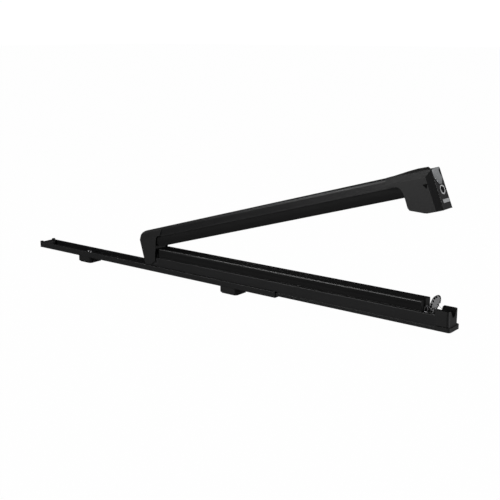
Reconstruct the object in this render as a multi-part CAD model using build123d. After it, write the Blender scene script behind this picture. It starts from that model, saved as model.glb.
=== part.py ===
from build123d import *
import os
from math import atan2, cos, hypot, radians, sin

os.makedirs("parts", exist_ok=True)

# Slide-out roof carrier for skis: a fixed rail on two feet, a carriage that slides along it,
# and an arm hinged on the carriage that closes over it and latches at the far end.
# Millimetres. X along the rail towards the latch, Y across, Z up.
# Origin: middle of the front foot's seat on the roof bar.

# ---- general clearances
GAP_SLIDE = 0.2
GAP_PIN = 0.05
GAP_BUTTON = 0.4

# ---- feet
FOOT_H = 15.0
FOOT_W = 42.0
PAD_T = 2.0
FRONT_FOOT_L = 47.0
REAR_FOOT_L = 44.0
REAR_FOOT_X = -453.5
FOOT_CORNER = 4.0
INSERT_DX = -13.0
INSERT_OD = 9.0
INSERT_L = 9.0
THREAD_D = 6.0
BOLT_DX = -2.0
BOLT_D = 6.0
BOLT_HEAD_D = 12.0
BOLT_HEAD_H = 6.2
BOLT_LEN = 9.0
WASHER_D = 13.0
WASHER_T = 1.2
SCREW_DX = 18.0
SCREW_D = 4.0
SCREW_HEAD_D = 7.0
SCREW_HEAD_H = 2.6
SCREW_LEN = 8.0

# ---- rail
RAIL_L = 740.0
RAIL_W = 44.4
RAIL_H = 12.8
RAIL_WALL = 1.8
RAIL_FLOOR = 2.4
LIP_REACH = 2.5
LIP_T = 2.0
RAIL_REAR = -613.5
CAP_T = 2.5
CAP_PLUG = 10.0
EAR_L = 3.5
EAR_H = 2.7
EAR_W = 7.0
STOP_L = 10.0
STOP_W = 3.8
STOP_H = 7.6
STOP_Y = -9.4
STOP_INSET = 2.0

# ---- carriage
CAR_W = 37.0
CAR_WALL = 2.0
CAR_REAR = -241.0
CAR_FRONT = 485.5
FLANGE_IN = 12.0
NECK_IN = 13.0
NECK_OUT = 17.0
FLANGE_T = 5.6
FLANGE_EDGE = 0.3
SHOE_T = 1.6
SHOE_TOP = 0.8
BODY_RISE = 0.6
BODY_H = 19.4
TOP_WALL = 2.4
WEB_T = 2.2
WEB_IN = 11.5
SHOE_L = 30.0
SHOE_REAR_X = -240.5
SHOE_FRONT_X = 76.5
BED_REAR = -204.0
BED_FRONT = 456.5
BED_W = 35.6
BED_H = 21.6
BED_R = 3.5
STOP_LUG_L = 12.0
STOP_LUG_T = 3.0
STOP_LUG_GAP = 1.0
STOP_LUG_FOOT = 6.0
STOP_LUG_FOOT_T = 1.5
LUG_SCREW_D = 2.5
LUG_SCREW_HEAD_R = 2.2

# ---- hinge and elbow
OPEN_ANGLE = 16.29
PIVOT_X = -213.5
PIVOT_Z = 39.0
PIVOT_U = -2.63
PIVOT_V = -30.89
PIN_D = 8.0
BUSH_OD = 12.0
BUSH_FLANGE_D = 15.0
BUSH_FLANGE_T = 0.8
BRACKET_SIDE_GAP = 0.2
BRACKET_BAR_W = 22.0
BRACKET_HALF = 8.0
BRACKET_BAR_H = 9.5
BRACKET_BAR_END = 90.0
BRACKET_SCREW_D = 5.0
BRACKET_SCREW_L = 8.0
COVER_GAP = 0.4
COVER_T = 1.8
COVER_TOP_T = 2.2

# ---- arm
ARM_W = 36.0
ARM_BASE = 22.0
ARM_SIDE_TOP = 24.5
ARM_BAND_Y = 12.5
ARM_BAND_TOP = 35.5
ARM_TOP = 42.0
ARM_WALL = 2.0
ARM_START = 29.9
ARM_END = 645.0
RUBBER_W = 35.6
RUBBER_START = 12.0
RUBBER_END = 662.0
RUBBER_R = 3.0
RUBBER_HEEL_R = 12.0
SEAM_SLOPE = 0.177
SEAM_U = 29.96

# ---- lock housing
HOUSE_W = 43.4
HOUSE_WALL = 2.5
HOUSE_FRONT_U = 723.5
HOUSE_FRONT_V = 38.0
HOUSE_SLOPE = 0.1096
HOUSE_SHOULDER_V = 29.0
HOUSE_BAND_Y = 15.5
HOUSE_BAND_V = 41.0
HOUSE_TOP = 46.9
HOUSE_CHAMFER_D = 13.0
FRONT_WALL = 3.0
BEVEL_WALL = 1.2
PLATE_T = 2.4
PLATE_W = 32.6
PLATE_TOP_V = 24.0
SCREW_U = 708.5
SCREW_V = 13.4
RECESS_DEPTH = 1.4
LOCK_V = 1.0
LOCK_RING_R = 8.5
LOCK_RING_PROUD = 1.2
LOCK_BARREL_R = 6.4
LOCK_DEPTH = 16.0
PLUG_R = 4.6
PLUG_PROUD = 0.5
KEY_W = 1.2
KEY_H = 6.0
CAM_REACH = 5.0
CAM_W = 5.0
CAM_T = 1.5
CAM_GAP = 0.5
BADGE_W = 24.0
BADGE_H = 6.7
BADGE_T = 0.6
BADGE_V = -19.4
BADGE_Y = 2.0

# ---- button and pawl
BUTTON_W = 28.0
BUTTON_REAR_U = 709.6
BUTTON_TOP_V = 41.5
BUTTON_TOP_T = 5.0
BUTTON_PROUD = 1.4
BUTTON_FRONT_T = 4.5
BUTTON_WAIST_V = 24.0
BUTTON_TIP_V = 11.5
BUTTON_TIP_W = 10.0
BUTTON_TRAVEL = 2.6
STEM_V = 27.0
STEM_D = 5.0
STEM_GAP = 0.9
STEM_L = 17.0
PAWL_U = 704.0
PAWL_V = 14.0
PAWL_T = 3.0
PAWL_W = 12.0
PAWL_TOP_V = 30.0
PAWL_BOTTOM_V = -10.8
TOOTH_TIP_U = 698.0
TOOTH_H = 2.6
PAWL_PIN_D = 4.0
PAWL_HUB_R = 4.0

# ---- end block and catch
BLOCK_L = 28.0
BLOCK_TOP = 58.0
BLOCK_R = 5.5
BLOCK_FLANGE_L = 31.5
BLOCK_FLANGE_W = 40.2
BLOCK_PLUG_L = 14.0
SLOT_TOP_W = 23.0
SLOT_BOTTOM_W = 8.0
SLOT_BOTTOM_Z = 44.0
CATCH_X = 474.5
CATCH_Z = 51.5
CATCH_HALF = 3.0
CATCH_PLATE_T = 0.9
CATCH_PIN_D = 4.0
WINDOW = 3.9
EAR_T = 1.4
EAR_GAP = 0.35
EAR_R = 3.6
EAR_FOOT_W = 7.0
EAR_FOOT_T = 1.2
BAIL_D = 1.0
BAIL_Y = 12.8

# ---- derived heights and places
RAIL_Z = FOOT_H
FLOOR_Z = RAIL_Z + RAIL_FLOOR
LIP_Z = RAIL_Z + RAIL_H - LIP_T
RAIL_TOP = RAIL_Z + RAIL_H
RAIL_IN = RAIL_W / 2 - RAIL_WALL
LIP_IN = RAIL_IN - LIP_REACH
RAIL_FRONT = RAIL_REAR + RAIL_L
SHOE_BOTTOM = FLOOR_Z + GAP_SLIDE
FLANGE_Z = SHOE_BOTTOM + SHOE_T
FLANGE_TOP = FLANGE_Z + FLANGE_T
FLANGE_OUT = RAIL_IN - GAP_SLIDE - FLANGE_EDGE
BODY_Z = RAIL_TOP + BODY_RISE
BODY_TOP = BODY_Z + BODY_H
BED_TOP = BODY_TOP + BED_H
STOP_X0 = RAIL_FRONT - STOP_INSET - STOP_L
STOP_LUG_X1 = STOP_X0 - STOP_LUG_GAP
LUG_SCREW_Y = CAR_WALL + LUG_SCREW_HEAD_R + 0.3 - CAR_W / 2
BRACKET_W = CAR_W - 2 * (CAR_WALL + BUSH_FLANGE_T + BRACKET_SIDE_GAP)
COVER_IN = CAR_W / 2 + COVER_GAP
COVER_OUT = COVER_IN + COVER_T
HOUSE_IN = HOUSE_W / 2 - HOUSE_WALL
TILT = radians(OPEN_ANGLE)
ARM_X = PIVOT_X - PIVOT_U * cos(TILT) + PIVOT_V * sin(TILT)
ARM_Z = PIVOT_Z - PIVOT_U * sin(TILT) - PIVOT_V * cos(TILT)


def block(x0, x1, y0, y1, z0, z1):
    """Box between two corners."""
    size = Box(x1 - x0, y1 - y0, z1 - z0)
    return Pos((x0 + x1) / 2, (y0 + y1) / 2, (z0 + z1) / 2) * size


def bar(points, x0, x1):
    """Section drawn in Y, Z and run along X."""
    return Pos(x0, 0, 0) * extrude(Plane.YZ * make_face(Polyline(*points, close=True)), x1 - x0)


def side(points, y0, y1):
    """Outline drawn in X, Z and run across Y."""
    return Pos(0, y1, 0) * extrude(Plane.XZ * make_face(Polyline(*points, close=True)), y1 - y0)


def rod(radius, length, x=0.0, y=0.0, z=0.0):
    """Upright cylinder, z its lower end."""
    return Pos(x, y, z + length / 2) * Cylinder(radius, length)


def cross_rod(radius, y0, y1, x, z):
    """Cylinder lying across, from y0 to y1."""
    return Pos(x, (y0 + y1) / 2, z) * Rot(90, 0, 0) * Cylinder(radius, y1 - y0)


def mirror_y(shape):
    return mirror(shape, about=Plane.XZ)


def both_sides(shape):
    """The shape and its mirror image as separate solids."""
    return Compound(children=[shape, mirror_y(shape)])


def group(shapes):
    return Compound(children=list(shapes))


def on_arm(shape):
    """Arm coordinates (u along, v up from its underside) to the row's frame."""
    return Pos(ARM_X, 0, ARM_Z) * Rot(0, -OPEN_ANGLE, 0) * shape


def save(name, shape):
    export_step(shape, "parts/" + name + ".step")


# ---- fixed rail, feet and their fasteners
def make_rail():
    out, inner = RAIL_W / 2, RAIL_IN
    top, lip, floor = RAIL_TOP, LIP_Z, FLOOR_Z
    outline = [(-out, RAIL_Z), (out, RAIL_Z), (out, top), (LIP_IN, top), (LIP_IN, lip)]
    outline += [(inner, lip), (inner, floor), (-inner, floor), (-inner, lip)]
    outline += [(-LIP_IN, lip), (-LIP_IN, top), (-out, top)]
    face = make_face(Polyline(*outline, close=True))
    corners = face.vertices()
    tips = [v for v in corners if abs(v.Y - top) < 0.01]
    face = fillet(tips, 0.8)
    feet = [v for v in face.vertices() if abs(v.Y - RAIL_Z) < 0.01]
    face = fillet(feet, 1.2)
    rail = Pos(RAIL_REAR, 0, 0) * extrude(Plane.YZ * face, RAIL_L)
    for x in (0.0, REAR_FOOT_X):
        rail -= rod(BOLT_D / 2, RAIL_FLOOR + 1, x + BOLT_DX, 0, RAIL_Z - 0.5)
        rail -= rod(SCREW_D / 2, RAIL_FLOOR + 1, x + SCREW_DX, 0, RAIL_Z - 0.5)
    return rail


def make_end_cap():
    out = RAIL_W / 2
    cap = block(RAIL_REAR - CAP_T, RAIL_REAR, -out, out, RAIL_Z, RAIL_TOP + EAR_H)
    cap -= block(RAIL_REAR - 2 * CAP_T, RAIL_REAR + 1, EAR_W - out, out - EAR_W, RAIL_TOP, RAIL_TOP + 9)
    for y in (-out, out - EAR_W):
        cap += block(RAIL_REAR, RAIL_REAR + EAR_L, y, y + EAR_W, RAIL_TOP, RAIL_TOP + EAR_H)
    cap += block(RAIL_REAR, RAIL_REAR + CAP_PLUG, -RAIL_IN, RAIL_IN, FLOOR_Z, LIP_Z)
    rear = cap.edges().filter_by(Axis.Z).group_by(Axis.X)[0]
    cap = fillet(rear, 1.6)
    return cap


def make_front_stop():
    x0 = STOP_X0
    y0 = STOP_Y - STOP_W / 2
    stop = block(x0, x0 + STOP_L, y0, y0 + STOP_W, FLOOR_Z, FLOOR_Z + STOP_H)
    return chamfer(stop.edges().group_by(Axis.Z)[-1], 0.6)


def foot_shape(x, length):
    foot = block(x - length / 2, x + length / 2, -FOOT_W / 2, FOOT_W / 2, PAD_T, FOOT_H)
    foot = chamfer(foot.edges().filter_by(Axis.Z), FOOT_CORNER)
    foot = fillet(foot.edges().group_by(Axis.Z)[0], 1.0)
    foot -= rod(INSERT_OD / 2, INSERT_L, x + INSERT_DX, 0, PAD_T)
    depth = BOLT_LEN - RAIL_FLOOR - WASHER_T
    foot -= rod(BOLT_D / 2, depth + 2, x + BOLT_DX, 0, FOOT_H - depth)
    depth = SCREW_LEN - RAIL_FLOOR
    foot -= rod(SCREW_D / 2, depth + 2, x + SCREW_DX, 0, FOOT_H - depth)
    return foot


def foot_pad(x, length):
    pad = block(x - length / 2 + 2, x + length / 2 - 2, -FOOT_W / 2 + 2, FOOT_W / 2 - 2, 0, PAD_T)
    pad = chamfer(pad.edges().filter_by(Axis.Z), FOOT_CORNER)
    return pad - rod(INSERT_OD / 2, PAD_T + 2, x + INSERT_DX, 0, -1)


def foot_insert(x):
    insert = rod(INSERT_OD / 2, INSERT_L, x + INSERT_DX, 0, PAD_T)
    return insert - rod(THREAD_D / 2, INSERT_L - 1, x + INSERT_DX, 0, PAD_T)


def foot_bolt(x):
    top = FLOOR_Z + WASHER_T
    head = rod(BOLT_HEAD_D / 2, BOLT_HEAD_H, x + BOLT_DX, 0, top)
    head = chamfer(head.edges().group_by(Axis.Z)[-1], 0.7)
    hexagon = Pos(x + BOLT_DX, 0, top + BOLT_HEAD_H - 3) * extrude(RegularPolygon(3.0, 6), 5)
    return head - hexagon + rod(BOLT_D / 2, BOLT_LEN, x + BOLT_DX, 0, top - BOLT_LEN)


def foot_washer(x):
    washer = rod(WASHER_D / 2, WASHER_T, x + BOLT_DX, 0, FLOOR_Z)
    return washer - rod(BOLT_D / 2, WASHER_T + 2, x + BOLT_DX, 0, FLOOR_Z - 1)


def foot_screw(x):
    head = rod(SCREW_HEAD_D / 2, SCREW_HEAD_H, x + SCREW_DX, 0, FLOOR_Z)
    head = fillet(head.edges().group_by(Axis.Z)[-1], 1.0)
    socket = Pos(x + SCREW_DX, 0, FLOOR_Z + 1.0) * extrude(RegularPolygon(1.6, 6), 4)
    return head - socket + rod(SCREW_D / 2, SCREW_LEN, x + SCREW_DX, 0, FLOOR_Z - SCREW_LEN)


# ---- carriage
def carriage_web_cut():
    """Opening in the carriage's top behind the bed, where the hinge leg stands."""
    inner = CAR_W / 2 - CAR_WALL
    return block(CAR_REAR - 1, BED_REAR, -inner, inner, BODY_TOP - 9, BODY_TOP + 1)


def make_carriage_profile():
    half, neck = CAR_W / 2, FLANGE_TOP
    x0, x1 = CAR_REAR, CAR_FRONT
    web = BODY_Z + WEB_T
    body = block(x0, x1, -half, half, BODY_Z, BODY_TOP)
    body -= block(x0 - 1, x1 + 1, CAR_WALL - half, half - CAR_WALL, web, BODY_TOP - TOP_WALL)
    body -= block(x0 - 1, x1 + 1, -WEB_IN, WEB_IN, BODY_Z - 1, web + 1)
    body = fillet(body.edges().filter_by(Axis.X).group_by(Axis.Z)[-1], 1.2)
    for sign in (-1, 1):
        y0, y1 = sorted((sign * NECK_IN, sign * NECK_OUT))
        body += block(x0, x1, y0, y1, neck - 1, BODY_Z + 1)
        y0, y1 = sorted((sign * FLANGE_IN, sign * FLANGE_OUT))
        body += block(x0, x1, y0, y1, FLANGE_Z, FLANGE_TOP)
    body -= carriage_web_cut()
    body -= cross_rod(BUSH_OD / 2, -half - 1, half + 1, PIVOT_X, PIVOT_Z)
    for x, y in catch_screw_places():
        body -= rod(1.25, TOP_WALL + 2, x, y, BODY_TOP - TOP_WALL - 1)
    screw_x = STOP_LUG_X1 - STOP_LUG_L / 2
    body -= rod(LUG_SCREW_D / 2, WEB_T + 2, screw_x, LUG_SCREW_Y, BODY_Z - 1)
    for y in (-1, 1):
        body -= end_screw(y * (half - CAR_WALL - 3))
    return body


def glide_shoe(x0):
    out = RAIL_IN - GAP_SLIDE
    bottom = SHOE_BOTTOM
    top = LIP_Z - GAP_SLIDE
    points = [(FLANGE_IN, bottom), (out, bottom), (out, top), (NECK_OUT + 0.2, top)]
    points += [(NECK_OUT + 0.2, FLANGE_TOP), (FLANGE_OUT, FLANGE_TOP)]
    points += [(FLANGE_OUT, FLANGE_Z), (FLANGE_IN, FLANGE_Z)]
    return both_sides(bar(points, x0, x0 + SHOE_L))


def make_bed_rubber():
    bed = block(BED_REAR, BED_FRONT, -BED_W / 2, BED_W / 2, BODY_TOP, BED_TOP)
    top = bed.edges().filter_by(Axis.X).group_by(Axis.Z)[-1]
    return fillet(top, BED_R)


def hinge_bush():
    inner = CAR_W / 2 - CAR_WALL
    sleeve = cross_rod(BUSH_OD / 2, inner, CAR_W / 2, PIVOT_X, PIVOT_Z)
    sleeve += cross_rod(BUSH_FLANGE_D / 2, inner - BUSH_FLANGE_T, inner, PIVOT_X, PIVOT_Z)
    return sleeve - cross_rod(PIN_D / 2 + GAP_PIN, 0, CAR_W, PIVOT_X, PIVOT_Z)


def make_stop_lug():
    web = BODY_Z + WEB_T
    x0 = STOP_LUG_X1 - STOP_LUG_L
    y1 = STOP_Y + STOP_LUG_T / 2
    y0 = y1 - STOP_LUG_T
    lug = block(x0, STOP_LUG_X1, y0, y1, SHOE_BOTTOM + 1.0, web + STOP_LUG_FOOT_T)
    lug += block(x0, STOP_LUG_X1, y0 - STOP_LUG_FOOT + 1.4, y0, web, web + STOP_LUG_FOOT_T)
    return lug - rod(LUG_SCREW_D / 2, 6, x0 + STOP_LUG_L / 2, LUG_SCREW_Y, web - 1)


def make_stop_lug_screw():
    web = BODY_Z + WEB_T
    x = STOP_LUG_X1 - STOP_LUG_L / 2
    head = rod(LUG_SCREW_HEAD_R, 1.6, x, LUG_SCREW_Y, web + STOP_LUG_FOOT_T)
    return head + rod(LUG_SCREW_D / 2, WEB_T + STOP_LUG_FOOT_T, x, LUG_SCREW_Y, BODY_Z)


# ---- end block on the carriage, with the slot the arm's tooth drops into
def end_screw(y):
    z = (BODY_Z + WEB_T + BODY_TOP - TOP_WALL) / 2
    turned = Rot(0, 90, 0) * Cylinder(1.5, BLOCK_PLUG_L)
    return Pos(CAR_FRONT - BLOCK_PLUG_L / 2, y, z) * turned


def make_end_block():
    half, x0 = CAR_W / 2, CAR_FRONT
    x1 = x0 + BLOCK_L
    body = block(x0, x1, -half, half, BODY_Z, BLOCK_TOP)
    body = fillet(body.edges().filter_by(Axis.Z).group_by(Axis.X)[-1], BLOCK_R)
    body = fillet(body.faces().sort_by(Axis.Z)[-1].edges(), 1.0)
    flange = BLOCK_FLANGE_W / 2
    foot = block(x0, x0 + BLOCK_FLANGE_L, -flange, flange, FLANGE_Z, RAIL_TOP)
    foot = fillet(foot.edges().filter_by(Axis.Z).group_by(Axis.X)[-1], BLOCK_R)
    body += foot
    body += block(x0, x1, 2 - half, half - 2, RAIL_TOP - 1, BODY_Z + 1)
    inner = half - CAR_WALL
    web = BODY_Z + WEB_T
    body += block(x0 - BLOCK_PLUG_L, x0, -inner, inner, web, BODY_TOP - TOP_WALL)
    wide, narrow = SLOT_TOP_W / 2, SLOT_BOTTOM_W / 2
    tall = BLOCK_TOP - SLOT_BOTTOM_Z
    slot = [(narrow * 0.5, SLOT_BOTTOM_Z - 0.5), (narrow, SLOT_BOTTOM_Z + 0.6)]
    slot += [(narrow + 2.3, SLOT_BOTTOM_Z + 0.28 * tall), (wide - 2.0, SLOT_BOTTOM_Z + 0.68 * tall)]
    slot += [(wide, BLOCK_TOP), (wide, BLOCK_TOP + 5)]
    slot += [(-y, z) for y, z in reversed(slot)]
    body -= bar(slot, x0 - 1, x0 + BLOCK_FLANGE_L)
    for y in (-1, 1):
        body -= end_screw(y * (half - CAR_WALL - 3))
    return body


# ---- sprung catch
def catch_outline():
    """Hook seen from the side, as offsets from its pivot."""
    points = [(6.8, 28.6), (10.0, 26.6), (11.4, 22.0), (10.4, 13.6), (5.4, 12.0), (8.6, 10.2), (7.0, 7.2)]
    points += [(4.0, 0.9), (-0.5, -2.9), (-5.0, -0.9), (-8.2, 4.7), (-7.2, 11.3), (-4.2, 19.5)]
    points += [(-0.9, 24.6), (2.8, 27.6)]
    return [(CATCH_X + x, CATCH_Z + z) for x, z in points]


def catch_windows():
    places = [(3.4, 25.8), (-0.1, 22.3), (-2.9, 16.4), (-5.2, 9.9), (-6.2, 5.2)]
    turns = [35, 40, 68, 72, 80]
    return [(CATCH_X + x, CATCH_Z + z, turn) for (x, z), turn in zip(places, turns)]


def make_catch_plate():
    y0 = -CATCH_HALF
    plate = side(catch_outline(), y0, y0 + CATCH_PLATE_T)
    for x, z, turn in catch_windows():
        hole = Box(WINDOW, CATCH_PLATE_T * 4, WINDOW)
        plate -= Pos(x + 0.9, y0, z - 0.3) * Rot(0, turn, 0) * hole
    return plate - cross_rod(CATCH_PIN_D / 2 + GAP_PIN, y0 - 1, 0, CATCH_X, CATCH_Z)


def make_catch_core():
    inner = CATCH_HALF - CATCH_PLATE_T
    core = side(catch_outline(), -inner, inner)
    return core - cross_rod(CATCH_PIN_D / 2 + GAP_PIN, -9, 9, CATCH_X, CATCH_Z)


def catch_screw_places():
    y = CATCH_HALF + EAR_GAP + EAR_T + EAR_FOOT_W / 2
    return [(CATCH_X - 4.5, -y), (CATCH_X + 4.5, -y), (CATCH_X - 4.5, y), (CATCH_X + 4.5, y)]


def make_catch_ear():
    y1 = -CATCH_HALF - EAR_GAP
    y0 = y1 - EAR_T
    base = CATCH_Z - BODY_TOP
    ear = block(CATCH_X - 7, CATCH_X + 7, y0, y1, BODY_TOP, BODY_TOP + EAR_FOOT_T)
    ear += block(CATCH_X - EAR_R, CATCH_X + EAR_R, y0, y1, BODY_TOP, BODY_TOP + base)
    ear += cross_rod(EAR_R, y0, y1, CATCH_X, CATCH_Z)
    ear += block(CATCH_X - 7, CATCH_X + 7, y0 - EAR_FOOT_W, y0, BODY_TOP, BODY_TOP + EAR_FOOT_T)
    for x, y in catch_screw_places()[:2]:
        ear -= rod(1.25, EAR_FOOT_T + 2, x, y, BODY_TOP - 1)
    return ear - cross_rod(CATCH_PIN_D / 2, y0 - 1, y1 + 1, CATCH_X, CATCH_Z)


def catch_screw(place):
    x, y = place
    head = rod(2.1, 1.2, x, y, BODY_TOP + EAR_FOOT_T)
    return head + rod(1.25, TOP_WALL + EAR_FOOT_T, x, y, BODY_TOP - TOP_WALL)


def make_catch_bail():
    """Closed wire loop standing beside the catch."""
    low = BODY_TOP + BAIL_D / 2
    rear, lean, front, high = CATCH_X - 14.0, CATCH_X - 11.6, CATCH_X - 6.9, CATCH_Z + 8.0
    corners = [(rear, low), (front, low), (front, high), (lean, high)]
    outer = offset(make_face(Polyline(*corners, close=True)), BAIL_D / 2)
    inner = offset(make_face(Polyline(*corners, close=True)), -BAIL_D / 2)
    loop = extrude(Plane.XZ * (outer - inner), BAIL_D)
    return Pos(0, BAIL_D / 2 - BAIL_Y, 0) * loop


# ---- arm: section, rubber and elbow
def arm_section(inset=0.0, drop=0.0):
    """Face across the arm, in Y and v."""
    half, band = ARM_W / 2 - inset, ARM_BAND_Y - inset * 0.55
    low, shoulder = ARM_BASE + inset - drop, ARM_SIDE_TOP + inset * 0.45
    crest, top = ARM_BAND_TOP - inset * 0.65, ARM_TOP - inset
    corners = [(-band, crest), (-half, shoulder), (-half, low)]
    corners += [(half, low), (half, shoulder), (band, crest)]
    crown = ThreePointArc((band, crest), (0, top), (-band, crest))
    return make_face(Curve() + [Polyline(*corners), crown])


def run_arm(face, u0, u1):
    return Pos(u0, 0, 0) * extrude(Plane.YZ * face, u1 - u0)


def seam_cut(u_low, behind):
    """Everything behind, or ahead of, the slanted seam between elbow and arm."""
    v0, v1 = -80.0, 120.0
    near = u_low + SEAM_SLOPE * (v0 - ARM_BASE)
    far = u_low + SEAM_SLOPE * (v1 - ARM_BASE)
    edge = -120.0 if behind else 900.0
    return side([(edge, v0), (near, v0), (far, v1), (edge, v1)], -60, 60)


def make_arm_profile():
    arm = run_arm(arm_section(), SEAM_U - 5, ARM_END)
    arm -= run_arm(arm_section(ARM_WALL), SEAM_U - 9, ARM_END + 9)
    arm -= seam_cut(SEAM_U, True)
    for u in bracket_screws_u():
        arm -= rod(BRACKET_SCREW_D / 2, ARM_WALL + 2, u, 0, ARM_BASE - 1)
    return arm


def bracket_screws_u():
    return [BRACKET_BAR_END - 38, BRACKET_BAR_END - 12]


def make_arm_rubber():
    half = RUBBER_W / 2
    rubber = block(RUBBER_START, RUBBER_END, -half, half, 0, ARM_BASE)
    heel = rubber.edges().filter_by(Axis.Y).group_by(Axis.X)[0].sort_by(Axis.Z)[0]
    rubber = fillet(heel, RUBBER_HEEL_R)
    bottom = rubber.edges().filter_by(Axis.X).group_by(Axis.Z)[0]
    return fillet(bottom, RUBBER_R)


def elbow_outline(inset=0.0, below=0.0):
    """Elbow cheek seen from the side; inset moves only the back and the top inwards."""
    back, top = -35.2 + inset, ARM_TOP - inset
    corner = 9.5 - inset
    points = [(back, -31.2 - below), (-17.0, -36.6 - below), (-2.0, -29.0 - below)]
    points += [(0.0 + below, -22.0), (13.0 + below, 12.0), (17.3 + below, 20.5), (22.0 + below, 24.0)]
    points += [(60.0, 24.0), (60.0, top), (back + corner, top)]
    for step in range(1, 6):
        turn = radians(90 + 15 * step)
        x = back + corner + corner * cos(turn)
        points.append((x, top - corner + corner * sin(turn)))
    points.append((back, top - corner))
    return points


def make_elbow_shell():
    out = COVER_OUT
    shell = side(elbow_outline(), -out, out)
    grow = out - ARM_W / 2
    hood = [(-out, -60), (out, -60), (out, ARM_SIDE_TOP), (ARM_BAND_Y + grow * 0.3, ARM_BAND_TOP + 0.8)]
    crown = hood + [(9.0, ARM_TOP - 2.2), (4.0, ARM_TOP - 0.3), (0, ARM_TOP)]
    crown += [(-4.0, ARM_TOP - 0.3), (-9.0, ARM_TOP - 2.2), (-ARM_BAND_Y - grow * 0.3, ARM_BAND_TOP + 0.8)]
    crown += [(-out, ARM_SIDE_TOP)]
    shell &= bar(crown, -80, 120)
    hollow = side(elbow_outline(COVER_TOP_T, 30.0), -COVER_IN, COVER_IN)
    hollow += block(-20, 60, -COVER_IN, COVER_IN, 20, ARM_BAND_TOP - 1)
    lid = [(-COVER_IN, -70), (COVER_IN, -70), (COVER_IN, ARM_SIDE_TOP - 1.2)]
    lid += [(ARM_BAND_Y - 1.5, ARM_BAND_TOP - 1.4), (0, ARM_TOP - COVER_TOP_T)]
    lid += [(1.5 - ARM_BAND_Y, ARM_BAND_TOP - 1.4), (-COVER_IN, ARM_SIDE_TOP - 1.2)]
    shell -= hollow & bar(lid, -80, 120)
    return shell & seam_cut(SEAM_U, True)


def half_of(shape, near):
    far_side = block(-300, 1200, 0, 100, -200, 300)
    near_side = block(-300, 1200, -100, 0, -200, 300)
    return shape & (near_side if near else far_side)


def make_elbow_bracket():
    half = BRACKET_HALF
    low = ARM_BASE + ARM_WALL + 0.3
    bar_top = low + BRACKET_BAR_H
    u0, u1 = PIVOT_U - half, PIVOT_U + half
    leg = block(u0, u1, -BRACKET_W / 2, BRACKET_W / 2, PIVOT_V, low - 2)
    leg += cross_rod(half, -BRACKET_W / 2, BRACKET_W / 2, PIVOT_U, PIVOT_V)
    leg = chamfer(leg.edges().filter_by(Axis.Y).group_by(Axis.Z)[-1], 3)
    arm_bar = block(u0 + 3, BRACKET_BAR_END, -BRACKET_BAR_W / 2, BRACKET_BAR_W / 2, low, bar_top)
    neck = block(u0 + 3, u1, -BRACKET_BAR_W / 2, BRACKET_BAR_W / 2, low - 8, low + 1)
    bracket = leg + arm_bar + neck
    for u in bracket_screws_u():
        bracket -= rod(BRACKET_SCREW_D / 2, BRACKET_SCREW_L - ARM_WALL, u, 0, ARM_BASE + ARM_WALL)
        bracket += group_ring(u, low)
    return bracket - cross_rod(PIN_D / 2, -40, 40, PIVOT_U, PIVOT_V)


def group_ring(u, low):
    """Small pad under the bar so it sits on the profile's floor round each screw."""
    pad = rod(BRACKET_SCREW_D / 2 + 3, low - ARM_BASE - ARM_WALL, u, 0, ARM_BASE + ARM_WALL)
    return pad - rod(BRACKET_SCREW_D / 2, 5, u, 0, ARM_BASE + ARM_WALL - 1)


def bracket_screw(u):
    return rod(BRACKET_SCREW_D / 2, BRACKET_SCREW_L, u, 0, ARM_BASE)


def make_hinge_pin():
    return cross_rod(PIN_D / 2, -CAR_W / 2, CAR_W / 2, PIVOT_U, PIVOT_V)


# ---- lock housing at the arm's free end
FRONT_ANGLE = atan2(HOUSE_SLOPE, 1.0)


def front_frame(v, depth=0.0):
    """Plane on the housing's front at height v: x across, y out of the face."""
    u = HOUSE_FRONT_U + (HOUSE_FRONT_V - v) * HOUSE_SLOPE
    down = (sin(FRONT_ANGLE), 0, -cos(FRONT_ANGLE))
    out = (cos(FRONT_ANGLE), 0, sin(FRONT_ANGLE))
    origin = (u - depth * out[0], 0, v - depth * out[2])
    return Plane(origin=origin, x_dir=(0, 1, 0), z_dir=down)


def face_frame(v, depth=0.0):
    """Plane lying in the front face: z out of it."""
    u = HOUSE_FRONT_U + (HOUSE_FRONT_V - v) * HOUSE_SLOPE
    out = (cos(FRONT_ANGLE), 0, sin(FRONT_ANGLE))
    return Plane(origin=(u - depth * out[0], 0, v - depth * out[2]), x_dir=(0, 1, 0), z_dir=out)


def behind_front(depth):
    """Everything deeper than this behind the front face."""
    return extrude(front_frame(90, depth) * (Pos(0, -200) * Rectangle(120, 400)), 200)


def bevel_wedge(inset=0.0):
    """What the bevel beside the front plate takes off; inset moves it into the housing."""
    half = HOUSE_W / 2 + 0.2
    run = half - PLATE_W / 2
    slant = hypot(run, HOUSE_CHAMFER_D)
    across, down = inset * HOUSE_CHAMFER_D / slant, inset * run / slant
    edge, wide = PLATE_W / 2 - across, half - across
    low = -HOUSE_CHAMFER_D - down
    wedge = [(edge, -down), (wide, low), (wide + 9, low), (wide + 9, 9), (edge, 9)]
    return extrude(front_frame(80.0) * make_face(Polyline(*wedge, close=True)), 180)


def front_slab(depth0, depth1, half, v_top, v_low):
    """Plate parallel to the front face between two depths behind it."""
    tall = (v_top - v_low) / cos(FRONT_ANGLE)
    plane = front_frame(v_top)
    section = Pos(0, -(depth0 + depth1) / 2) * Rectangle(2 * half, depth1 - depth0)
    return extrude(plane * section, tall)


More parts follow.
